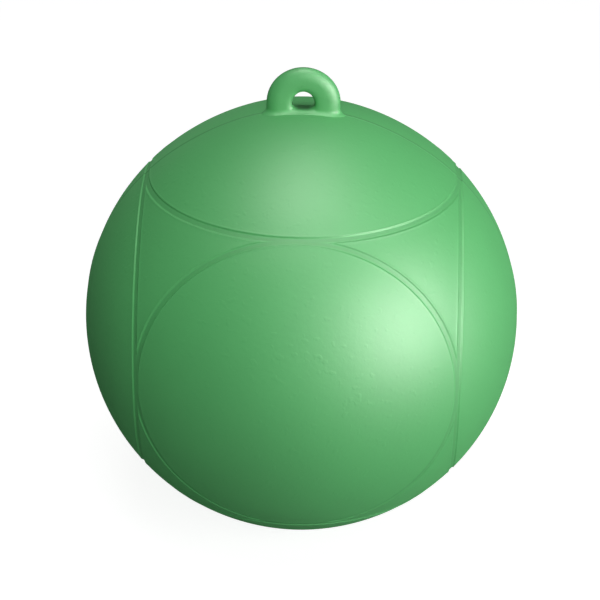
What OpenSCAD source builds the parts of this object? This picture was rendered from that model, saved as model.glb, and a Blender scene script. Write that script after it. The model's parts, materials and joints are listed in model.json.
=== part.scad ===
// Inflatable slalom course buoy: a hollow vinyl ball with ring grooves, a boss at each pole,
// a rope eye and a screw valve.
// The origin is the ball's centre, the eye points up, and the eye's hole runs from front to back.

/* [Ball] */
// Outer diameter of the ball
ball_d = 228.6; // [220:0.1:280]
// Thickness of the vinyl skin
skin_t = 2.6; // [2.2:0.1:5]
// Height that the thick boss at each pole rises above the ball
boss_h = 3.2; // [2.4:0.1:4]
// Width of a boss where it meets the ball
boss_d = 113; // [100:0.1:120]

/* [Ring grooves] */
// Angle from each of the six axes to the middle of its ring groove
groove_angle = 44.85; // [44:0.05:44.9]
// Width of a groove at the ball's surface
groove_mouth = 4.8; // [4:0.1:5.6]
// Width of a groove at its floor
groove_floor = 2.2; // [1.8:0.1:2.6]
// Depth of a groove
groove_depth = 0.8; // [0.5:0.05:1]

/* [Rope eye] */
// Width of the eye over its two legs
eye_w = 37.7; // [34:0.1:44]
// Thickness of the eye from front to back
eye_t = 9; // [8:0.1:12]
// Height of the eye's top above the boss
eye_h = 22.7; // [21:0.1:30]
// Diameter of the rope hole
eye_bore_d = 9.6; // [8:0.1:11]
// Height of the rope hole's floor above the boss
eye_sill_h = 1.1; // [0.9:0.1:3]
// Rounding of the rope hole's two mouths
eye_mouth_r = 1; // [0.6:0.1:1.4]
// How far the foot of a leg spreads past the leg
eye_foot_w = 2; // [1:0.1:2.4]
// Height of the foot of a leg above the boss
eye_foot_h = 2.4; // [1.6:0.1:4]

/* [Valve] */
// Angle from the eye's axis to the valve, towards the back
valve_angle = 33; // [30:0.5:36]
// Diameter of the valve's bush
bush_d = 19; // [17:0.1:22]
// Length of the bush from the ball's surface inwards
bush_len = 12; // [10:0.1:16]
// Diameter of the valve screw's head
screw_head_d = 12.4; // [10:0.1:14]
// Thickness of the screw's head
screw_head_t = 2.6; // [2.2:0.1:3.6]
// Depth of the head's top below the ball's surface
screw_sink = 0.5; // [0.4:0.1:1]
// Diameter of the screw's shank
screw_shank_d = 7.6; // [5:0.1:8.5]
// Length of the shank below the head
screw_shank_len = 8; // [5:0.1:12]
// Width of the screwdriver slot
slot_w = 1.8; // [1.2:0.1:2.4]
// Depth of the screwdriver slot
slot_depth = 1.3; // [0.8:0.1:1.6]

/* [Fits] */
// Gap where the eye and the bush are moulded into the skin
seat_gap = 0.1; // [0.05:0.01:0.2]
// Running gap between the valve screw and its bush
screw_gap = 0.15; // [0.1:0.01:0.3]
// Width of the collars inside the skin past their holes
collar_w = 3.5; // [2:0.1:5]
// Thickness of the collars inside the skin
collar_t = 2; // [1:0.1:3]

/* [Hidden] */
$fn = 96;
vinyl = [0.36, 0.69, 0.43];
nylon = [0.93, 0.93, 0.9];
ball_r = ball_d / 2;
inner_r = ball_r - skin_t;
// A boss is part of a smaller sphere that passes through its edge on the ball and through its top
boss_top_z = ball_r + boss_h;
boss_rise = boss_top_z - sqrt(pow(ball_r, 2) - pow(boss_d / 2, 2));
boss_r = (pow(boss_d / 2, 2) + pow(boss_rise, 2)) / 2 / boss_rise;
boss_z = boss_top_z - boss_r;
// Overlap of cutting tools past the faces they cut
reach = 1;
// Step that keeps two round surfaces from touching along a line
blend_step = 0.04;
// Turns that take the upward axis to each of the six groove axes
GROOVE_TURNS = [[0, 0, 0], [180, 0, 0], [90, 0, 0], [-90, 0, 0], [0, 90, 0], [0, -90, 0]];
groove_slope = (groove_mouth - groove_floor) / 2 / groove_depth;
leg_r = eye_t / 2;
leg_x = eye_w / 2 - leg_r;
arch_z = boss_top_z + eye_h - eye_w / 2;
bore_r = eye_bore_d / 2;
bore_z = boss_top_z + eye_sill_h + bore_r;
bore_land = eye_t - 2 * eye_mouth_r;
eye_root_z = inner_r - collar_t - skin_t;
head_top_z = ball_r - screw_sink;
head_seat_z = head_top_z - screw_head_t;

// Point of a groove's section, by height over the ball's surface and distance from the groove's middle
function groove_point(h, side) =
    let (r = ball_r + h)
    let (half = side * (groove_mouth / 2 + h * groove_slope))
    [r * sin(groove_angle) + half * cos(groove_angle), r * cos(groove_angle) - half * sin(groove_angle)];

// One ring groove around the upward axis, with sloping walls and a floor that follows the ball
module ring_groove() {
    deep = groove_depth + groove_floor / 4 / groove_slope;
    mouth = [groove_point(reach, -1), groove_point(reach, 1)];
    bottom = [groove_point(-deep, 1), groove_point(-deep, -1)];
    difference() {
        rotate_extrude()
            polygon(concat(mouth, bottom));
        sphere(r = ball_r - groove_depth);
    }
}

// Sphere that a boss at the top of the ball is part of, grown by a margin
module boss_ball(grow = 0) {
    translate([0, 0, boss_z])
        sphere(r = boss_r + grow);
}

// Outline of the eye's two legs and the web between them, seen from above, grown by a margin
module leg_outline(grow = 0) {
    for (side = [-1, 1])
        translate([side * leg_x, 0])
            circle(r = leg_r + grow);
    square([2 * leg_x, 2 * (leg_r + grow - blend_step)], center = true);
}

// Layer just inside the skin, as thick as a collar
module collar_layer() {
    difference() {
        sphere(r = inner_r - seat_gap);
        sphere(r = inner_r - seat_gap - collar_t);
    }
}

// Turns its children from the eye's axis to the valve's axis
module at_valve() {
    rotate([-valve_angle, 0, 0])
        children();
}

// Cylinder on the upward axis between two heights
module pillar(d, z0, z1) {
    translate([0, 0, z0])
        cylinder(d = d, h = z1 - z0);
}

// Half disc with a round rim that makes the top of the eye
module eye_arch() {
    translate([0, 0, arch_z])
        rotate([90, 0, 0])
            rotate_extrude(angle = 180) {
                translate([leg_x, 0])
                    circle(r = leg_r);
                translate([0, blend_step - leg_r])
                    square([leg_x, 2 * (leg_r - blend_step)]);
            }
}

// Legs of the eye, from inside the skin up to the arch
module eye_legs() {
    difference() {
        translate([0, 0, eye_root_z])
            linear_extrude(height = arch_z - eye_root_z)
                leg_outline();
        sphere(r = inner_r - seat_gap - collar_t);
    }
}

// Foot of each leg, which spreads from the leg onto the boss
module eye_feet() {
    wide = leg_r + eye_foot_w;
    foot_z = boss_top_z - pow(leg_x + wide, 2) / 2 / boss_r - reach;
    difference() {
        for (side = [-1, 1])
            translate([side * leg_x, 0, foot_z])
                cylinder(h = boss_top_z + eye_foot_h - foot_z, r1 = wide, r2 = leg_r - blend_step);
        boss_ball(seat_gap);
    }
}

// Rope hole with rounded mouths, along the front to back axis
module eye_bore() {
    mouth_r = bore_r + eye_mouth_r;
    half = eye_t / 2 + eye_foot_w + reach;
    translate([0, 0, bore_z])
        rotate([90, 0, 0])
            rotate_extrude()
                difference() {
                    translate([0, -half])
                        square([mouth_r, 2 * half]);
                    translate([bore_r, -bore_land / 2])
                        square([mouth_r, bore_land]);
                    for (side = [-1, 1])
                        translate([mouth_r + blend_step, side * bore_land / 2])
                            circle(r = eye_mouth_r);
                }
}

module ball_skin() {
    color(vinyl)
        difference() {
            union() {
                sphere(r = ball_r);
                boss_ball();
                mirror([0, 0, 1])
                    boss_ball();
            }
            for (turn = GROOVE_TURNS)
                rotate(turn)
                    ring_groove();
            sphere(r = inner_r);
            translate([0, 0, inner_r - skin_t])
                linear_extrude(height = boss_top_z + reach - inner_r + skin_t)
                    leg_outline(seat_gap);
            at_valve()
                pillar(bush_d + 2 * seat_gap, inner_r - skin_t, boss_top_z + reach);
        }
}

module rope_eye() {
    color(vinyl)
        difference() {
            union() {
                eye_arch();
                eye_legs();
                eye_feet();
                intersection() {
                    collar_layer();
                    translate([0, 0, eye_root_z - collar_w])
                        linear_extrude(height = ball_r - eye_root_z)
                            leg_outline(collar_w);
                }
            }
            eye_bore();
        }
}

module valve_bush() {
    color(nylon)
        at_valve()
            difference() {
                union() {
                    intersection() {
                        pillar(bush_d, ball_r - bush_len, ball_r + reach);
                        sphere(r = ball_r);
                    }
                    intersection() {
                        collar_layer();
                        pillar(bush_d + 2 * collar_w, ball_r - bush_len, ball_r);
                    }
                }
                pillar(screw_head_d + 2 * screw_gap, head_seat_z - screw_gap, ball_r + reach);
                pillar(screw_shank_d + 2 * screw_gap, ball_r - bush_len - reach, ball_r);
            }
}

module valve_screw() {
    color(nylon)
        at_valve()
            difference() {
                union() {
                    pillar(screw_head_d, head_seat_z, head_top_z);
                    pillar(screw_shank_d, head_seat_z - screw_shank_len, head_seat_z + slot_depth / 2);
                }
                translate([0, 0, head_top_z])
                    cube([screw_head_d + reach, slot_w, 2 * slot_depth], center = true);
            }
}

ball_skin();
rope_eye();
valve_bush();
valve_screw();
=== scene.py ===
"""Slalom course buoy on a studio stage: a vinyl ball with ring grooves, a rope eye and a screw valve."""

import json
import math

import bmesh
import bpy
from bpy.props import FloatProperty, FloatVectorProperty, IntProperty, PointerProperty
from bpy.types import Operator, Panel, PropertyGroup
from mathutils import Matrix, Vector


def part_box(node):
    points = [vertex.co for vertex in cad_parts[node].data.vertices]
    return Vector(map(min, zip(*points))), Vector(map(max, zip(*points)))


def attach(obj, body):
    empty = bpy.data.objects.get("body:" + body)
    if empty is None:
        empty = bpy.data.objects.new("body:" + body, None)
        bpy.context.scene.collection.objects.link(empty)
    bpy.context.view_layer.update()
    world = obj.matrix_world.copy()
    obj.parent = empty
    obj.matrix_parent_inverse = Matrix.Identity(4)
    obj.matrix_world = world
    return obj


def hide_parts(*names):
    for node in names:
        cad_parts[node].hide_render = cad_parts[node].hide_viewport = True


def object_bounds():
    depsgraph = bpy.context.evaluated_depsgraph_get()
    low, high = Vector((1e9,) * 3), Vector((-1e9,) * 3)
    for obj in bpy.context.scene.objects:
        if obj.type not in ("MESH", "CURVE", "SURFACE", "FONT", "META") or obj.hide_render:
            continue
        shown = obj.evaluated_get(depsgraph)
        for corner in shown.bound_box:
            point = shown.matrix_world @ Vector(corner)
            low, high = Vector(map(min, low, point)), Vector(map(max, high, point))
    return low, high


bl_info = {
    "name": "Slalom Course Buoy",
    "version": (1, 0, 0),
    "blender": (4, 5, 0),
    "location": "View3D > Sidebar > Buoy",
    "description": "Models the skin, rope eye and valve of a slalom course buoy and sets its studio stage",
    "category": "Add Mesh",
}

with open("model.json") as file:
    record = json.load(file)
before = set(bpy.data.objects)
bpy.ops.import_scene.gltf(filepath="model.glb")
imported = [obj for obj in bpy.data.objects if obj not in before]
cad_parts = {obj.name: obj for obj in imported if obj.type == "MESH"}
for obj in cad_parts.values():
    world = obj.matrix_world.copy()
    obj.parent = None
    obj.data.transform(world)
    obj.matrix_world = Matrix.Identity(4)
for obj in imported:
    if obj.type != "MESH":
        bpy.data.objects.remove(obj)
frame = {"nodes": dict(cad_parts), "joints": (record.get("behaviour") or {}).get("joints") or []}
CAD_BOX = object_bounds()
MM = 0.001

# Places that come from the frame
BALL_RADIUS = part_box("ball_skin")[1].x
EYE_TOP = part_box("rope_eye")[1].z
VALVE_JOINT = frame["joints"][0]
VALVE_AXIS = Vector(VALVE_JOINT["axis"]).normalized()
VALVE_TURN = Vector((0, 0, 1)).rotation_difference(VALVE_AXIS).to_matrix()
SCREW_TOP = max(v.co.dot(VALVE_AXIS) for v in frame["nodes"]["valve_screw"].data.vertices)
FLOOR_HEIGHT = CAD_BOX[0].z

# Distances under which vertices are one: in a single shape, and where two panels meet
MERGE = 0.001 * MM
PANEL_MERGE = 0.01 * MM

# How steeply a boss falls away into the ball
BOSS_FALL = 2.4

# Angle from a panel's axis to just past its corners
PANEL_REACH = math.radians(57)

# Rows of edges along the parting line, as shares of half its width
SEAM_ROWS = (-1, -0.7, -0.4, -0.15, 0, 0.15, 0.4, 0.7, 1)

# Power that squares the floor of the rope hole
HOLE_FLOOR_POWER = 0.6

# Share of the way to the eye's rim at which its foot spreads fully, and the depth under the skin
# down to which the foot follows it
FOOT_SHARE = 0.7
FOOT_DEPTH = 0.5 * MM

# Turn past which the valve's edges are shaded sharp
SHARP_TURN = math.radians(50)

# Where the painted shade fades out, as shares of half a groove's floor, of the parting line's width,
# and of the rope hole's half sizes around it and towards its mouths
GROOVE_SHADE_FADE = (0.5, 1.2)
SEAM_SHADE_FADE = (0.1, 0.35)
HOLE_SHADE_FADE = (1.05, 1.25)
MOUTH_SHADE_FADE = (0.45, 0.95)

# Waves to a metre of the patterns in the two materials
MOTTLE_WAVES = 16
GRAIN_WAVES = 420
SPECK_WAVES = 260
NYLON_GRAIN_WAVES = 900
NYLON_CLOUD_WAVES = 150

# The floor's half width, its grey for the light that it throws back, its grey and glow in view,
# and the distances between which it fades to white
FLOOR_HALF = 6
FLOOR_DIM = (0.24, 0.24, 0.24, 1)
FLOOR_PALE = (0.4, 0.4, 0.4, 1)
FLOOR_GLOW = 0.88
FLOOR_FADE = (0.3, 0.9)

# Colours of the glow and gloss, of the lamps, and of the panels that only the gloss shows
WHITE = (1, 1, 1, 1)
LAMP_COLOUR = (1, 1, 1)
GLINT_COLOUR = (1, 1, 0.94)

# Turns that take the upward axis to each of the six panels
PANEL_TURNS = (
    Matrix.Identity(3),
    Matrix.Rotation(math.pi, 3, "X"),
    Matrix.Rotation(math.pi / 2, 3, "X"),
    Matrix.Rotation(-math.pi / 2, 3, "X"),
    Matrix.Rotation(math.pi / 2, 3, "Y"),
    Matrix.Rotation(-math.pi / 2, 3, "Y"),
)


def length(name, description, default):
    """A size in metres."""
    return FloatProperty(
        name=name, description=description, default=default, min=0, precision=5, unit="LENGTH"
    )


def angle(name, description, default):
    """An angle, given in degrees."""
    radians = math.radians(default)
    return FloatProperty(name=name, description=description, default=radians, subtype="ANGLE")


def count(name, description, default):
    """A number of steps in a mesh."""
    return IntProperty(name=name, description=description, default=default, min=4)


def colour(name, description, default):
    """A linear colour."""
    return FloatVectorProperty(
        name=name, description=description, default=default, subtype="COLOR", min=0, max=1
    )


def amount(name, description, default):
    """A plain number."""
    return FloatProperty(name=name, description=description, default=default, min=0)


class SkinSizes(PropertyGroup):
    """Sizes of the ball's skin."""

    radius: length("Radius", "Outer radius of the ball", BALL_RADIUS)
    groove_angle: angle("Groove angle", "Angle from a panel's axis to the middle of its ring groove", 44.85)
    groove_width: length("Groove width", "Width of a ring groove between its lips", 4.1 * MM)
    groove_flat: length("Groove flat", "Width of the flat floor of a groove", 2.2 * MM)
    groove_depth: length("Groove depth", "Depth of a ring groove", 0.45 * MM)
    lip_rise: length("Lip rise", "Height of the low lip along each edge of a groove", 0.1 * MM)
    lip_width: length("Lip width", "Width of either slope of a lip", 1 * MM)
    boss_rise: length("Boss rise", "How far the thick skin at the eye rises above the ball", 2.6 * MM)
    boss_spread: angle("Boss spread", "Angle from the eye at which the boss is down to a third", 22)
    under_rise: length("Under rise", "How far the skin at the other pole rises above the ball", 3.2 * MM)
    under_spread: angle("Under spread", "Angle from that pole at which the boss is down to a third", 19.5)
    seam_rise: length("Seam rise", "Height of the mould's parting line", 0.22 * MM)
    seam_width: length("Seam width", "Width of the mould's parting line", 2.4 * MM)
    ring_step: length("Ring step", "Spacing of the mesh's rings on a panel", 2.9 * MM)
    groove_steps: count("Groove steps", "Mesh steps across a groove and its lips", 28)
    spokes: count("Spokes", "Mesh steps around a panel", 192)


class EyeSizes(PropertyGroup):
    """Sizes of the rope eye."""

    top: length("Top", "Height of the eye's top over the ball's centre", EYE_TOP - 0.45 * MM)
    width: length("Width", "Width of the eye over its legs", 37.5 * MM)
    thickness: length("Thickness", "Thickness of the eye from front to back", 9 * MM)
    hole_width: length("Hole width", "Width of the rope hole", 11.2 * MM)
    hole_rise: length("Hole rise", "Height of the hole's top over the middle of the arch", 6.5 * MM)
    hole_drop: length("Hole drop", "Depth of the hole's floor under the middle of the arch", 2.74 * MM)
    root: length("Root", "Depth of the eye's root under the middle of the arch", 9 * MM)
    rim_power: amount("Rim power", "Power of the section's curve at the rim, 2 for an ellipse", 2.1)
    hole_power: amount("Hole power", "Power of the section's curve at the hole, more for a squarer wall", 4)
    fillet: length("Fillet", "Radius of the fillet at the eye's front and back", 2.2 * MM)
    side_fillet: length("Side fillet", "Radius of the fillet at the eye's two sides", 3.2 * MM)
    seam_rise: length("Seam rise", "Height of the parting line on the eye's rim", 0.22 * MM)
    turns: count("Turns", "Mesh steps around the hole", 96)
    section_steps: count("Section steps", "Mesh steps around the eye's section", 48)


class ValveSizes(PropertyGroup):
    """Sizes of the valve's bush and screw."""

    bush_radius: length("Bush radius", "Outer radius of the bush", 9.5 * MM)
    bush_length: length("Bush length", "Length of the bush from the ball's surface inwards", 12 * MM)
    seat_gap: length("Seat gap", "Gap between the bush and its pocket in the skin", 0.1 * MM)
    rim_width: length("Rim width", "Width of the moulded rim around the bush", 3.2 * MM)
    rim_rise: length("Rim rise", "Height of the moulded rim around the bush", 0.7 * MM)
    recess_radius: length("Recess radius", "Radius of the recess that takes the screw's head", 6.35 * MM)
    bore_radius: length("Bore radius", "Radius of the bush's bore", 3.95 * MM)
    screw_gap: length("Screw gap", "Gap between the screw's head and the floor of its recess", 0.15 * MM)
    head_radius: length("Head radius", "Radius of the screw's head", 6.2 * MM)
    head_height: length("Head height", "Thickness of the screw's head", 2.6 * MM)
    shank_radius: length("Shank radius", "Radius of the screw's shank", 3.8 * MM)
    shank_length: length("Shank length", "Length of the shank below the head", 8 * MM)
    slot_width: length("Slot width", "Width of the screwdriver slot", 1.8 * MM)
    slot_depth: length("Slot depth", "Depth of the screwdriver slot", 1.3 * MM)
    rounding: length("Rounding", "Rounding of the valve's edges", 0.35 * MM)
    steps: count("Steps", "Mesh steps around the valve", 96)


class Finish(PropertyGroup):
    """Colours and gloss of the buoy's materials."""

    vinyl: colour("Vinyl", "Colour of the moulded skin and eye", (0.095, 0.48, 0.143))
    nylon: colour("Nylon", "Colour of the valve", (0.78, 0.78, 0.73))
    vinyl_roughness: amount("Vinyl roughness", "Mean roughness of the skin", 0.54)
    vinyl_gloss: amount("Vinyl gloss", "Share of the light that the skin's satin gloss throws back", 0.02)
    # Painted shade: the floors of the grooves are darkened in the colour to stand in for the shade in them
    groove_painted_shade: amount("Groove tint", "How much darker the floor of a groove is than the panels", 0.13)
    # Painted shade: the crest of the parting line is darkened in the colour to stand in for the shade along
    # it
    seam_painted_shade: amount("Seam tint", "How much darker the crest of the parting line is than the panels", 0.35)
    # Painted shade: the wall of the rope hole is darkened in the colour to stand in for the shade inside
    # the hole
    hole_painted_shade: amount("Hole tint", "How much darker the wall of the rope hole is than the eye", 0.55)


class StageSizes(PropertyGroup):
    """Camera and light of the studio stage."""

    elevation: angle("Elevation", "Camera's angle above the ball's centre", 27.1)
    azimuth: angle("Azimuth", "Camera's turn towards the right of the front", 1.65)
    roll: angle("Roll", "Camera's roll about its own axis", 0.6)
    distance: length("Distance", "Camera's distance from the ball's centre", 1.2116)
    lens: amount("Lens", "Focal length in millimetres on a 36 mm sensor", 136.5)
    drop: length("Drop", "How far the ball's centre lies under the middle of the view", 7.4 * MM)
    side: length("Side", "How far the ball's centre lies to the right of the middle of the view", 0.75 * MM)
    key_power: amount("Key power", "Power of the large lamp at the right, in watts", 17.7)
    front_power: amount("Front power", "Power of the lamp at the front, in watts", 8.4)
    top_power: amount("Top power", "Power of the lamp overhead, in watts", 8.2)
    back_power: amount("Back power", "Power of the lamp at the back, in watts", 7.5)
    right_glint: amount("Right glint", "Power of the panel seen only in the right gloss, in watts", 230)
    top_glint: amount("Top glint", "Power of the panel seen only in the top gloss, in watts", 50)
    ambient: amount("Ambient", "Strength of the even light from all round", 0.05)


class BuoySettings(PropertyGroup):
    """All settings of the buoy."""

    skin: PointerProperty(type=SkinSizes)
    eye: PointerProperty(type=EyeSizes)
    valve: PointerProperty(type=ValveSizes)
    finish: PointerProperty(type=Finish)
    stage: PointerProperty(type=StageSizes)


class Wire:
    """A shader socket whose arithmetic adds Math nodes to its tree."""

    def __init__(self, tree, socket=None):
        self.tree = tree
        self.socket = socket

    def node(self, kind, settings=None, inputs=None, output=0):
        """Add a node with its settings first, then the values or links of its sockets."""
        made = self.tree.nodes.new(kind)
        for name, value in (settings or {}).items():
            if name == "stops":
                set_stops(made.color_ramp, value)
            else:
                setattr(made, name, value)
        for name, value in (inputs or {}).items():
            if isinstance(value, Wire):
                self.tree.links.new(value.socket, made.inputs[name])
            else:
                made.inputs[name].default_value = value
        return Wire(self.tree, made.outputs[output] if made.outputs else None)

    def math(self, operation, first, second=0.0):
        """Add a Math node on one or two values."""
        return self.node("ShaderNodeMath", {"operation": operation}, {0: first, 1: second})

    def __add__(self, other):
        return self.math("ADD", self, other)

    def __radd__(self, other):
        return self.math("ADD", other, self)

    def __sub__(self, other):
        return self.math("SUBTRACT", self, other)

    def __rsub__(self, other):
        return self.math("SUBTRACT", other, self)

    def __mul__(self, other):
        return self.math("MULTIPLY", self, other)

    def __rmul__(self, other):
        return self.math("MULTIPLY", other, self)


def set_stops(ramp, stops):
    """Give a colour ramp grey stops, each a place and a value."""
    while len(ramp.elements) < len(stops):
        ramp.elements.new(1)
    for element, (place, value) in zip(ramp.elements, stops):
        element.position = place
        element.color = (value, value, value, 1)


def new_material(name):
    """An empty node material and a wire into its tree."""
    material = bpy.data.materials.new(name)
    material.use_nodes = True
    material.node_tree.nodes.clear()
    return material, Wire(material.node_tree)


def close_material(tree, shader):
    """Link a shader to the material's output."""
    tree.node("ShaderNodeOutputMaterial", {}, {"Surface": shader})


def noise(tree, place, waves, detail):
    """Noise from 0 to 1 with this many waves to a metre."""
    return tree.node("ShaderNodeTexNoise", {}, {"Vector": place, "Scale": waves, "Detail": detail})


def parts_of(tree, vector):
    """The three parts of a vector."""
    parts = tree.node("ShaderNodeSeparateXYZ", {}, {0: vector})
    return [Wire(tree.tree, output) for output in parts.socket.node.outputs]


def fade_out(tree, value, start, end):
    """1 up to a start, falling softly to 0 at an end."""
    sockets = {"Value": value, "From Min": start, "From Max": end, "To Min": 1.0, "To Max": 0.0}
    return tree.node("ShaderNodeMapRange", {"interpolation_type": "SMOOTHSTEP"}, sockets)


def tinted(tree, paint, tone):
    """A colour times a tone that changes over the surface."""
    return tree.node(
        "ShaderNodeMix",
        {"data_type": "RGBA", "blend_type": "MULTIPLY"},
        {"Factor": 1.0, 6: (*paint, 1), 7: tone},
        2,
    )


def groove_shade_mask(tree, place, skin):
    """Mask of the painted shade: 1 on the floor of the ring grooves, falling to 0 on their walls."""
    way = tree.node("ShaderNodeVectorMath", {"operation": "NORMALIZE"}, {0: place})
    size = tree.node("ShaderNodeVectorMath", {"operation": "ABSOLUTE"}, {0: way})
    x, y, z = parts_of(tree, size)
    nearest = tree.math("MAXIMUM", x, tree.math("MAXIMUM", y, z))
    offset = tree.math("ABSOLUTE", nearest - math.cos(skin.groove_angle))
    half = skin.groove_flat / 2 * math.sin(skin.groove_angle) / skin.radius
    return fade_out(tree, offset, *(share * half for share in GROOVE_SHADE_FADE))


def seam_shade_mask(tree, place, skin):
    """Mask of the painted shade: 1 on the crest of the parting line, falling to 0 on its flanks."""
    offset = tree.math("ABSOLUTE", parts_of(tree, place)[1])
    return fade_out(tree, offset, *(share * skin.seam_width for share in SEAM_SHADE_FADE))


def hole_shade_mask(tree, place, eye):
    """Mask of the painted shade: 1 on the wall of the rope hole, falling to 0 at its two mouths."""
    middle = eye.top - eye.width / 2 + (eye.hole_rise - eye.hole_drop) / 2
    half = Vector((eye.hole_width, eye.thickness, eye.hole_rise + eye.hole_drop)) / 2
    shift = tree.node("ShaderNodeVectorMath", {"operation": "SUBTRACT"}, {0: place, 1: (0, 0, middle)})
    share = tree.node("ShaderNodeVectorMath", {"operation": "DIVIDE"}, {0: shift, 1: half})
    x, y, z = parts_of(tree, share)
    around = fade_out(tree, tree.math("SQRT", x * x + z * z), *HOLE_SHADE_FADE)
    between = fade_out(tree, tree.math("ABSOLUTE", y), *MOUTH_SHADE_FADE)
    return around * between


def vinyl_material(settings):
    """Satin moulded vinyl with soft mottling, a fine orange peel and faint specks.

    The floors of the grooves, the crest of the parting line and the wall of the rope hole are darker:
    painted shade in the colour.
    """
    finish = settings.finish
    material, tree = new_material("moulded_vinyl")
    place = tree.node("ShaderNodeTexCoord", {}, {}, "Object")
    mottle = noise(tree, place, MOTTLE_WAVES, 3)
    grain = noise(tree, place, GRAIN_WAVES, 3)
    dots = noise(tree, place, SPECK_WAVES, 1)
    specks = tree.node("ShaderNodeValToRGB", {"stops": ((0.62, 0), (0.74, 1))}, {"Fac": dots})
    tone = 0.94 + 0.1 * mottle + 0.03 * (grain - 0.5)
    # Painted shade: the floors of the grooves, the crest of the parting line and the wall of the rope hole
    # are darkened
    tone = tone * (1 - finish.groove_painted_shade * groove_shade_mask(tree, place, settings.skin))
    tone = tone * (1 - finish.seam_painted_shade * seam_shade_mask(tree, place, settings.skin))
    tone = tone * (1 - finish.hole_painted_shade * hole_shade_mask(tree, place, settings.eye))
    height = grain + 0.8 * specks
    normal = tree.node("ShaderNodeBump", {}, {"Strength": 0.25, "Distance": 0.2 * MM, "Height": height})
    body = tree.node(
        "ShaderNodeBsdfPrincipled",
        {},
        {
            "Base Color": tinted(tree, finish.vinyl, tone),
            "Roughness": finish.vinyl_roughness - 0.03 + 0.06 * mottle,
            "Specular IOR Level": 0.0,
            "Normal": normal,
        },
    )
    satin = tree.node(
        "ShaderNodeBsdfAnisotropic",
        {},
        {"Color": WHITE, "Roughness": finish.vinyl_roughness, "Normal": normal},
    )
    close_material(tree, tree.node("ShaderNodeMixShader", {}, {0: finish.vinyl_gloss, 1: body, 2: satin}))
    return material


def nylon_material(settings):
    """Off-white moulded nylon with a fine grain."""
    finish = settings.finish
    material, tree = new_material("moulded_nylon")
    place = tree.node("ShaderNodeTexCoord", {}, {}, "Object")
    grain = noise(tree, place, NYLON_GRAIN_WAVES, 2)
    cloud = noise(tree, place, NYLON_CLOUD_WAVES, 2)
    normal = tree.node("ShaderNodeBump", {}, {"Strength": 0.1, "Distance": 0.1 * MM, "Height": grain})
    shader = tree.node(
        "ShaderNodeBsdfPrincipled",
        {},
        {
            "Base Color": tinted(tree, finish.nylon, 0.9 + 0.12 * cloud),
            "Roughness": 0.38 + 0.1 * cloud,
            "Specular IOR Level": 0.3,
            "Normal": normal,
        },
    )
    close_material(tree, shader)
    return material


def material_for(slot, settings):
    """The material of a slot, made once."""
    makers = {"vinyl": vinyl_material, "nylon": nylon_material}
    return bpy.data.materials.get(f"moulded_{slot}") or makers[slot](settings)


def add_piece(bm, name, body, node, slot, settings, sharp=None):
    """Turn a bmesh into a piece that rides on a body and stands for a node."""
    open_edges = [edge for edge in bm.edges if not edge.is_manifold]
    if open_edges:
        raise RuntimeError(f"{name} has {len(open_edges)} edges that don't join two faces")
    bmesh.ops.recalc_face_normals(bm, faces=bm.faces)
    mesh = bpy.data.meshes.new(name)
    bm.to_mesh(mesh)
    bm.free()
    mesh.shade_smooth()
    if sharp:
        mesh.set_sharp_from_angle(angle=sharp)
    mesh.materials.append(material_for(slot, settings))
    piece = bpy.data.objects.new(name, mesh)
    bpy.context.scene.collection.objects.link(piece)
    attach(piece, body)
    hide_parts(node)
    return piece


def everything(bm):
    """All vertices, edges and faces of a bmesh."""
    return bm.verts[:] + bm.edges[:] + bm.faces[:]


def only(kind, items):
    """The items of one kind, such as vertices, in an operator's result."""
    return [item for item in items if isinstance(item, kind)]


def extrude_up(bm, faces, height):
    """Extrude faces along the upward axis and delete the faces that they started from."""
    made = bmesh.ops.extrude_face_region(bm, geom=faces)["geom"]
    bmesh.ops.translate(bm, verts=only(bmesh.types.BMVert, made), vec=(0, 0, height))
    bmesh.ops.delete(bm, geom=[face for face in faces if face.is_valid], context="FACES_ONLY")


def spin_line(bm, points, axis, steps, closed=False):
    """Spin a line of points all the way round an axis through the origin."""
    verts = [bm.verts.new(point) for point in points]
    edges = [bm.edges.new(pair) for pair in zip(verts, verts[1:])]
    if closed:
        edges.append(bm.edges.new((verts[-1], verts[0])))
    line = verts + edges
    bmesh.ops.spin(bm, geom=line, cent=(0, 0, 0), axis=axis, angle=2 * math.pi, steps=steps, use_merge=True)
    bmesh.ops.remove_doubles(bm, verts=bm.verts, dist=MERGE)


def spin_section(bm, section, steps, closed=False):
    """Spin a section, given by its reaches and heights, around the upward axis."""
    spin_line(bm, [Vector((reach, 0, height)) for reach, height in section], (0, 0, 1), steps, closed)


def soft_fall(share):
    """A smooth fall from 1 to 0 as a share goes from 0 to 1."""
    return (1 + math.cos(math.pi * min(max(share, 0), 1))) / 2


def groove_lift(skin, offset):
    """Height of the skin beside a groove's middle: a flat floor, soft walls and low lips."""
    half, flat = skin.groove_width / 2, skin.groove_flat / 2
    lip = soft_fall(abs(abs(offset) - half) / skin.lip_width)
    sink = soft_fall((abs(offset) - flat) / (half - flat))
    return skin.lip_rise * lip - skin.groove_depth * sink


def panel_line(skin):
    """Section of a panel from its axis over its groove and past the panel's corners."""
    half = (skin.groove_width / 2 + skin.lip_width) / skin.radius
    start_groove, end_groove = skin.groove_angle - half, skin.groove_angle + half
    spans = (
        (0, start_groove, skin.ring_step),
        (start_groove, end_groove, 2 * half * skin.radius / skin.groove_steps),
        (end_groove, PANEL_REACH, skin.ring_step),
    )
    turns = [0]
    for start, end, step in spans:
        parts = round((end - start) * skin.radius / step)
        turns += [start + (end - start) * (part + 1) / parts for part in range(parts)]
    line = []
    for turn in turns:
        reach = skin.radius + groove_lift(skin, (turn - skin.groove_angle) * skin.radius)
        line.append((reach * math.sin(turn), reach * math.cos(turn)))
    return line


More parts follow.
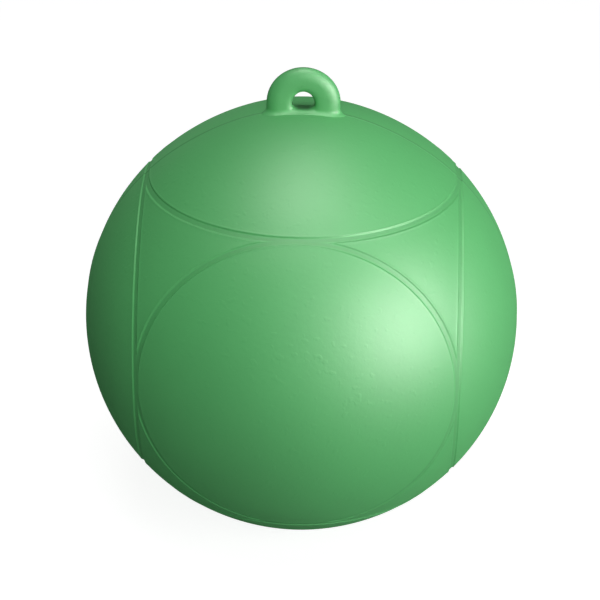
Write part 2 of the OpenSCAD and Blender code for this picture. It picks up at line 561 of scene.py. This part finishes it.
def add_panels(bm, skin):
    """Spin one panel, trim it to its sixth of the ball and repeat it on all six sides."""
    spin_section(bm, panel_line(skin), skin.spokes)
    for normal in ((1, 0, -1), (-1, 0, -1), (0, 1, -1), (0, -1, -1)):
        bmesh.ops.bisect_plane(
            bm, geom=everything(bm), dist=MERGE, plane_co=(0, 0, 0), plane_no=normal, clear_outer=True
        )
    panel = everything(bm)
    for turn in PANEL_TURNS[1:]:
        copy = bmesh.ops.duplicate(bm, geom=panel)["geom"]
        bmesh.ops.rotate(bm, verts=only(bmesh.types.BMVert, copy), cent=(0, 0, 0), matrix=turn)
    bmesh.ops.remove_doubles(bm, verts=bm.verts, dist=PANEL_MERGE)


def skin_reach(skin, point):
    """Distance of the plain skin from the ball's centre, in a point's direction."""
    turn = math.acos(min(abs(point.z) / point.length, 1))
    rise, spread = skin.boss_rise, skin.boss_spread
    if point.z < 0:
        rise, spread = skin.under_rise, skin.under_spread
    return skin.radius + rise * math.exp(-((turn / spread) ** BOSS_FALL))


def cut_seam(bm, skin):
    """Cut the skin along the parting line, so that its ridge has its own rows of faces."""
    half, snap = skin.seam_width / 2, 0.02 * MM
    for share in SEAM_ROWS:
        faces = [face for face in bm.faces if min(abs(vert.co.y) for vert in face.verts) < 3 * half]
        edges = dict.fromkeys(edge for face in faces for edge in face.edges)
        verts = dict.fromkeys(vert for face in faces for vert in face.verts)
        bmesh.ops.bisect_plane(
            bm,
            geom=[*verts, *edges, *faces],
            dist=snap,
            plane_co=(0, share * half, 0),
            plane_no=(0, 1, 0),
        )


def raise_skin(bm, skin):
    """Lift the bosses at the poles and the ridge of the parting line."""
    half = skin.seam_width / 2
    for vert in bm.verts:
        lift = skin_reach(skin, vert.co) - skin.radius
        lift += skin.seam_rise * soft_fall(abs(vert.co.y) / half)
        vert.co += vert.co.normalized() * lift


def rounded(value, power):
    """A power that keeps the sign."""
    return math.copysign(abs(value) ** power, value)


def eye_point(eye, around, section):
    """Place of a point of the eye, by its angle around the hole and around the section."""
    across, rise = math.cos(around), math.sin(around)
    hole, rim = eye.hole_width / 2, eye.width / 2
    if rise >= 0:
        inner = Vector((hole * across, 0, eye.hole_rise * rise))
        outer = Vector((rim * across, 0, rim * rise))
    else:
        floor_x, floor_z = rounded(across, HOLE_FLOOR_POWER), rounded(rise, HOLE_FLOOR_POWER)
        inner = Vector((hole * floor_x, 0, eye.hole_drop * floor_z))
        square = max(abs(across), abs(rise))
        outer = Vector((rim * across / square, 0, eye.root * rise / square))
    power = 2 / (eye.hole_power if math.cos(section) > 0 else eye.rim_power)
    share = (1 - rounded(math.cos(section), power)) / 2
    place = inner.lerp(outer, share)
    place.y = eye.thickness / 2 * rounded(math.sin(section), power)
    place.z += eye.top - rim
    return place


def spread_foot(eye, skin, place):
    """Spread a point of the eye outwards near the skin, along the fillet."""
    lift = place.length - skin_reach(skin, place)
    leg, half = (eye.width - eye.hole_width) / 4, eye.thickness / 2
    axis_x = min(max(place.x, leg - eye.width / 2), eye.width / 2 - leg)
    slope = Vector(((place.x - axis_x) / leg ** 2, place.y / half ** 2, 0))
    if slope.length < 1e-6:
        return place
    slope.normalize()
    fillet = eye.side_fillet + (eye.fillet - eye.side_fillet) * slope.y ** 2
    if lift >= fillet:
        return place
    over = max(lift, 0)
    spread = fillet - math.sqrt(fillet ** 2 - (fillet - over) ** 2)
    share = min(math.hypot((place.x - axis_x) / leg, place.y / half) / FOOT_SHARE, 1)
    moved = place + slope * (spread * share)
    if lift > -FOOT_DEPTH:
        moved = moved.normalized() * (skin_reach(skin, moved) + lift)
    return moved


def add_eye(bm, eye, skin):
    """Spin a ring around the hole's axis and shape it into the eye with its legs and foot."""
    ring, tube, close = 2.0, 1.0, 0.01
    middle = Vector((0, 0, eye.top - eye.width / 2))
    circle = [2 * math.pi * step / eye.section_steps for step in range(eye.section_steps)]
    points = [Vector((ring - tube * math.cos(turn), tube * math.sin(turn), 0)) for turn in circle]
    spin_line(bm, points, (0, -1, 0), eye.turns, closed=True)
    for vert in bm.verts:
        around = math.atan2(vert.co.z, vert.co.x)
        reach = math.hypot(vert.co.x, vert.co.z)
        section = math.atan2(vert.co.y, ring - reach)
        place = eye_point(eye, around, section)
        if abs(abs(section) - math.pi) < close:
            # The row on the rim carries the parting line
            place += (place - middle).normalized() * eye.seam_rise
        vert.co = spread_foot(eye, skin, place)


def bevel_sharp(bm, width, limit=math.radians(40)):
    """Round the edges that turn by more than a limit."""
    edges = [edge for edge in bm.edges if edge.is_manifold and edge.calc_face_angle() > limit]
    bmesh.ops.bevel(
        bm,
        geom=edges,
        offset=width,
        affect="EDGES",
        segments=3,
        profile=0.5,
        material=-1,
        clamp_overlap=True,
    )


def to_valve(bm):
    """Turn a shape from the upward axis to the valve's axis."""
    bmesh.ops.rotate(bm, verts=bm.verts, cent=(0, 0, 0), matrix=VALVE_TURN)


def add_bush(bm, valve, skin):
    """Spin the bush's section around the valve's axis."""
    surface = skin.radius
    seat = SCREW_TOP - valve.head_height - valve.screw_gap
    section = (
        (valve.bore_radius, surface - valve.bush_length),
        (valve.bush_radius, surface - valve.bush_length),
        (valve.bush_radius, math.sqrt(surface ** 2 - valve.bush_radius ** 2)),
        (valve.recess_radius, math.sqrt(surface ** 2 - valve.recess_radius ** 2)),
        (valve.recess_radius, seat),
        (valve.bore_radius, seat),
    )
    spin_section(bm, section, valve.steps, closed=True)
    bevel_sharp(bm, valve.rounding)
    to_valve(bm)


def add_screw(bm, valve):
    """Build the screw from a disc at the slot's floor: two halves up, then the head and the shank down."""
    floor, bottom, level = SCREW_TOP - valve.slot_depth, SCREW_TOP - valve.head_height, 0.01 * MM
    disc = bmesh.ops.create_circle(bm, cap_ends=True, segments=valve.steps, radius=valve.head_radius)
    bmesh.ops.translate(bm, verts=disc["verts"], vec=(0, 0, floor))
    for side in (-1, 1):
        bmesh.ops.bisect_plane(
            bm,
            geom=everything(bm),
            dist=MERGE,
            plane_co=(0, side * valve.slot_width / 2, 0),
            plane_no=(0, 1, 0),
        )
    disc_faces = bm.faces[:]
    lower = bmesh.ops.duplicate(bm, geom=everything(bm))["geom"]
    halves = [face for face in disc_faces if abs(face.calc_center_median().y) > valve.slot_width / 2]
    for half in halves:
        extrude_up(bm, [half], valve.slot_depth)
    extrude_up(bm, only(bmesh.types.BMFace, lower), bottom - floor)
    bmesh.ops.remove_doubles(bm, verts=bm.verts, dist=MERGE)
    under = [face for face in bm.faces if all(abs(vert.co.z - bottom) < level for vert in face.verts)]
    joined = bmesh.ops.dissolve_faces(bm, faces=under)["region"]
    bmesh.ops.inset_region(bm, faces=joined, thickness=valve.head_radius - valve.shank_radius)
    extrude_up(bm, joined, -valve.shank_length)
    bmesh.ops.recalc_face_normals(bm, faces=bm.faces)
    bevel_sharp(bm, valve.rounding)
    to_valve(bm)


def axis_reach(vert):
    """Distance of a vertex on the valve's half of the ball from the valve's axis."""
    along = vert.co.dot(VALVE_AXIS)
    return (vert.co - VALVE_AXIS * along).length if along > 0 else math.inf


def add_pocket(bm, skin, valve):
    """Open the skin at the valve and join a moulded rim with a pocket for the bush to the opening."""
    hole = valve.bush_radius + valve.seat_gap
    edge = hole + valve.rim_width
    margin = 0.5 * MM
    inside = [face for face in bm.faces if min(axis_reach(vert) for vert in face.verts) < edge + margin]
    bmesh.ops.delete(bm, geom=inside, context="FACES")
    rough = [item for item in bm.edges if item.is_boundary]
    before = set(bm.verts)
    surface = math.sqrt(skin.radius ** 2 - edge ** 2)
    top = surface + valve.rim_rise
    floor = skin.radius - valve.bush_length - margin
    # From the skin over the rim, and down the pocket to the middle of its floor
    section = (
        (edge, surface),
        (edge - 0.25 * valve.rim_width, surface + 0.45 * valve.rim_rise),
        (edge - 0.5 * valve.rim_width, top),
        (hole + 0.2 * valve.rim_width, top + 0.1 * valve.rim_rise),
        (hole + 0.06 * valve.rim_width, top - 0.1 * valve.rim_rise),
        (hole, surface),
        (hole, floor),
        (0, floor),
    )
    spin_section(bm, section, valve.steps)
    collar = [vert for vert in bm.verts if vert not in before]
    rim = [vert for vert in collar if vert.co.z > floor + 2 * margin]
    bmesh.ops.rotate(bm, verts=collar, cent=(0, 0, 0), matrix=VALVE_TURN)
    for vert in rim:
        vert.co += vert.co.normalized() * (skin_reach(skin, vert.co) - skin.radius)
    clean = [item for item in bm.edges if item.is_boundary and item.verts[0] not in before]
    bmesh.ops.bridge_loops(bm, edges=[item for item in rough if item.is_valid] + clean)
    bmesh.ops.triangulate(bm, faces=[face for face in bm.faces if len(face.verts) > 4])


class BUOY_OT_add_skin(Operator):
    """Model the ball's skin with its ring grooves, bosses, parting line and the valve's pocket."""

    bl_idname = "buoy.add_skin"
    bl_label = "Add Ball Skin"

    def execute(self, context):
        settings = context.scene.buoy
        bm = bmesh.new()
        add_panels(bm, settings.skin)
        cut_seam(bm, settings.skin)
        raise_skin(bm, settings.skin)
        add_pocket(bm, settings.skin, settings.valve)
        add_piece(bm, "moulded_skin", "buoy", "ball_skin", "vinyl", settings)
        return {"FINISHED"}


class BUOY_OT_add_eye(Operator):
    """Model the rope eye with its rounded hole and its foot on the skin."""

    bl_idname = "buoy.add_eye"
    bl_label = "Add Rope Eye"

    def execute(self, context):
        settings = context.scene.buoy
        bm = bmesh.new()
        add_eye(bm, settings.eye, settings.skin)
        piece = add_piece(bm, "moulded_eye", "buoy", "rope_eye", "vinyl", settings)
        smooth = piece.modifiers.new("Smooth", "SUBSURF")
        smooth.levels = 1
        smooth.render_levels = 1
        return {"FINISHED"}


class BUOY_OT_add_valve(Operator):
    """Model the valve's bush and its slotted screw."""

    bl_idname = "buoy.add_valve"
    bl_label = "Add Valve"

    def execute(self, context):
        settings = context.scene.buoy
        bm = bmesh.new()
        add_bush(bm, settings.valve, settings.skin)
        add_piece(bm, "moulded_bush", "buoy", "valve_bush", "nylon", settings, SHARP_TURN)
        bm = bmesh.new()
        add_screw(bm, settings.valve)
        add_piece(bm, "slotted_screw", "valve", "valve_screw", "nylon", settings, SHARP_TURN)
        return {"FINISHED"}


def view_axes(stage):
    """The camera's right, up and backward directions."""
    back = Vector((
        math.sin(stage.azimuth) * math.cos(stage.elevation),
        -math.cos(stage.azimuth) * math.cos(stage.elevation),
        math.sin(stage.elevation),
    ))
    level = Vector((math.cos(stage.azimuth), math.sin(stage.azimuth), 0))
    turn = Matrix.Rotation(stage.roll, 3, back)
    return turn @ level, turn @ back.cross(level), back


def add_camera(stage):
    """A long lens at the front, a little above the ball."""
    right, up, back = view_axes(stage)
    data = bpy.data.cameras.new("camera")
    data.lens = stage.lens
    data.sensor_width = 36
    camera = bpy.data.objects.new("camera", data)
    bpy.context.scene.collection.objects.link(camera)
    target = up * stage.drop - right * stage.side
    place = back * stage.distance
    ahead = (place - target).normalized()
    side = up.cross(ahead).normalized()
    turn = Matrix((side, ahead.cross(side), ahead)).transposed()
    camera.matrix_world = Matrix.Translation(place) @ turn.to_4x4()
    bpy.context.scene.camera = camera


def add_lamp(name, direction, distance, size, power, only_gloss=False):
    """A soft lamp that faces the ball, or a panel that only the gloss shows."""
    data = bpy.data.lights.new(name, "AREA")
    data.shape = "RECTANGLE"
    data.size, data.size_y = size
    data.energy = power
    data.color = GLINT_COLOUR if only_gloss else LAMP_COLOUR
    lamp = bpy.data.objects.new(name, data)
    bpy.context.scene.collection.objects.link(lamp)
    aim = Vector(direction).normalized()
    lamp.location = aim * distance
    lamp.rotation_euler = aim.to_track_quat("Z", "Y").to_euler()
    lamp.visible_diffuse = not only_gloss
    lamp.visible_camera = not only_gloss


def seen_rays(tree):
    """1 for rays that show the stage to the camera, straight or mirrored."""
    rays = tree.node("ShaderNodeLightPath").socket.node.outputs
    names = ("Is Camera Ray", "Is Glossy Ray", "Is Transmission Ray")
    direct, glossy, clear = (Wire(tree.tree, rays[name]) for name in names)
    return tree.math("MAXIMUM", direct, tree.math("MAXIMUM", glossy, clear))


def add_floor():
    """A wide pale floor with a soft shadow that fades to white and throws little light back."""
    bm = bmesh.new()
    bmesh.ops.create_grid(bm, x_segments=1, y_segments=1, size=FLOOR_HALF)
    mesh = bpy.data.meshes.new("floor")
    bm.to_mesh(mesh)
    bm.free()
    floor = bpy.data.objects.new("floor", mesh)
    floor.location.z = FLOOR_HEIGHT
    bpy.context.scene.collection.objects.link(floor)
    material, tree = new_material("floor")
    dim = tree.node("ShaderNodeBsdfDiffuse", {}, {"Color": FLOOR_DIM})
    pale = tree.node("ShaderNodeBsdfDiffuse", {}, {"Color": FLOOR_PALE})
    glow = tree.node("ShaderNodeEmission", {}, {"Color": WHITE, "Strength": FLOOR_GLOW})
    near = tree.node("ShaderNodeAddShader", {}, {0: pale, 1: glow})
    far = tree.node("ShaderNodeEmission", {}, {"Color": WHITE, "Strength": 1.0})
    place = tree.node("ShaderNodeTexCoord", {}, {}, "Object")
    away = tree.node("ShaderNodeVectorMath", {"operation": "LENGTH"}, {0: place}, "Value")
    start, end = FLOOR_FADE
    fade = tree.node("ShaderNodeMapRange", {}, {"Value": away, "From Min": start, "From Max": end})
    white = tree.node("ShaderNodeMixShader", {}, {0: fade, 1: near, 2: far})
    close_material(tree, tree.node("ShaderNodeMixShader", {}, {0: seen_rays(tree), 1: dim, 2: white}))
    mesh.materials.append(material)


def add_world(stage):
    """White to the camera and a little even light on the object."""
    world = bpy.data.worlds.new("studio")
    world.use_nodes = True
    world.node_tree.nodes.clear()
    tree = Wire(world.node_tree)
    even = tree.node("ShaderNodeBackground", {}, {"Color": WHITE, "Strength": stage.ambient})
    white = tree.node("ShaderNodeBackground", {}, {"Color": WHITE, "Strength": 1})
    both = tree.node("ShaderNodeMixShader", {}, {0: seen_rays(tree), 1: even, 2: white})
    tree.node("ShaderNodeOutputWorld", {}, {"Surface": both})
    bpy.context.scene.world = world


class BUOY_OT_add_stage(Operator):
    """Set the floor, lamps, background and camera."""

    bl_idname = "buoy.add_stage"
    bl_label = "Add Studio Stage"

    def execute(self, context):
        stage = context.scene.buoy.stage
        add_floor()
        add_world(stage)
        add_lamp("key", (0.95, -0.3, 0.08), 1.6, (0.9, 0.9), stage.key_power)
        add_lamp("front", (0.23, -0.88, 0.42), 1.6, (0.9, 0.9), stage.front_power)
        add_lamp("overhead", (0, -0.28, 0.96), 1.5, (0.85, 0.85), stage.top_power)
        add_lamp("back", (-0.35, 0.94, -0.02), 1.6, (0.9, 0.9), stage.back_power)
        add_lamp("right_glint", (0.8, -0.58, 0.14), 1.6, (1.15, 1.3), stage.right_glint, True)
        add_lamp("top_glint", (0.04, -0.1, 0.99), 1.5, (0.75, 0.75), stage.top_glint, True)
        add_camera(stage)
        context.scene.view_settings.view_transform = "Standard"
        return {"FINISHED"}


OPERATORS = (BUOY_OT_add_skin, BUOY_OT_add_eye, BUOY_OT_add_valve, BUOY_OT_add_stage)
GROUPS = (SkinSizes, EyeSizes, ValveSizes, Finish, StageSizes, BuoySettings)


class BUOY_PT_panel(Panel):
    """Sizes, colours and pieces of the buoy."""

    bl_idname = "BUOY_PT_panel"
    bl_label = "Slalom Course Buoy"
    bl_space_type = "VIEW_3D"
    bl_region_type = "UI"
    bl_category = "Buoy"

    def draw(self, context):
        settings = context.scene.buoy
        for group in ("skin", "eye", "valve", "finish", "stage"):
            box = self.layout.box()
            box.label(text=group.title())
            sizes = getattr(settings, group)
            for name in sizes.__annotations__:
                box.prop(sizes, name)
        for operator in OPERATORS:
            self.layout.operator(operator.bl_idname)


CLASSES = (*GROUPS, *OPERATORS, BUOY_PT_panel)


def register():
    for item in CLASSES:
        bpy.utils.register_class(item)
    bpy.types.Scene.buoy = PointerProperty(type=BuoySettings)


def unregister():
    del bpy.types.Scene.buoy
    for item in reversed(CLASSES):
        bpy.utils.unregister_class(item)


def main():
    """Build every piece and the stage."""
    register()
    bpy.ops.buoy.add_skin()
    bpy.ops.buoy.add_eye()
    bpy.ops.buoy.add_valve()
    bpy.ops.buoy.add_stage()
    bpy.context.view_layer.update()


if __name__ == "__main__":
    main()
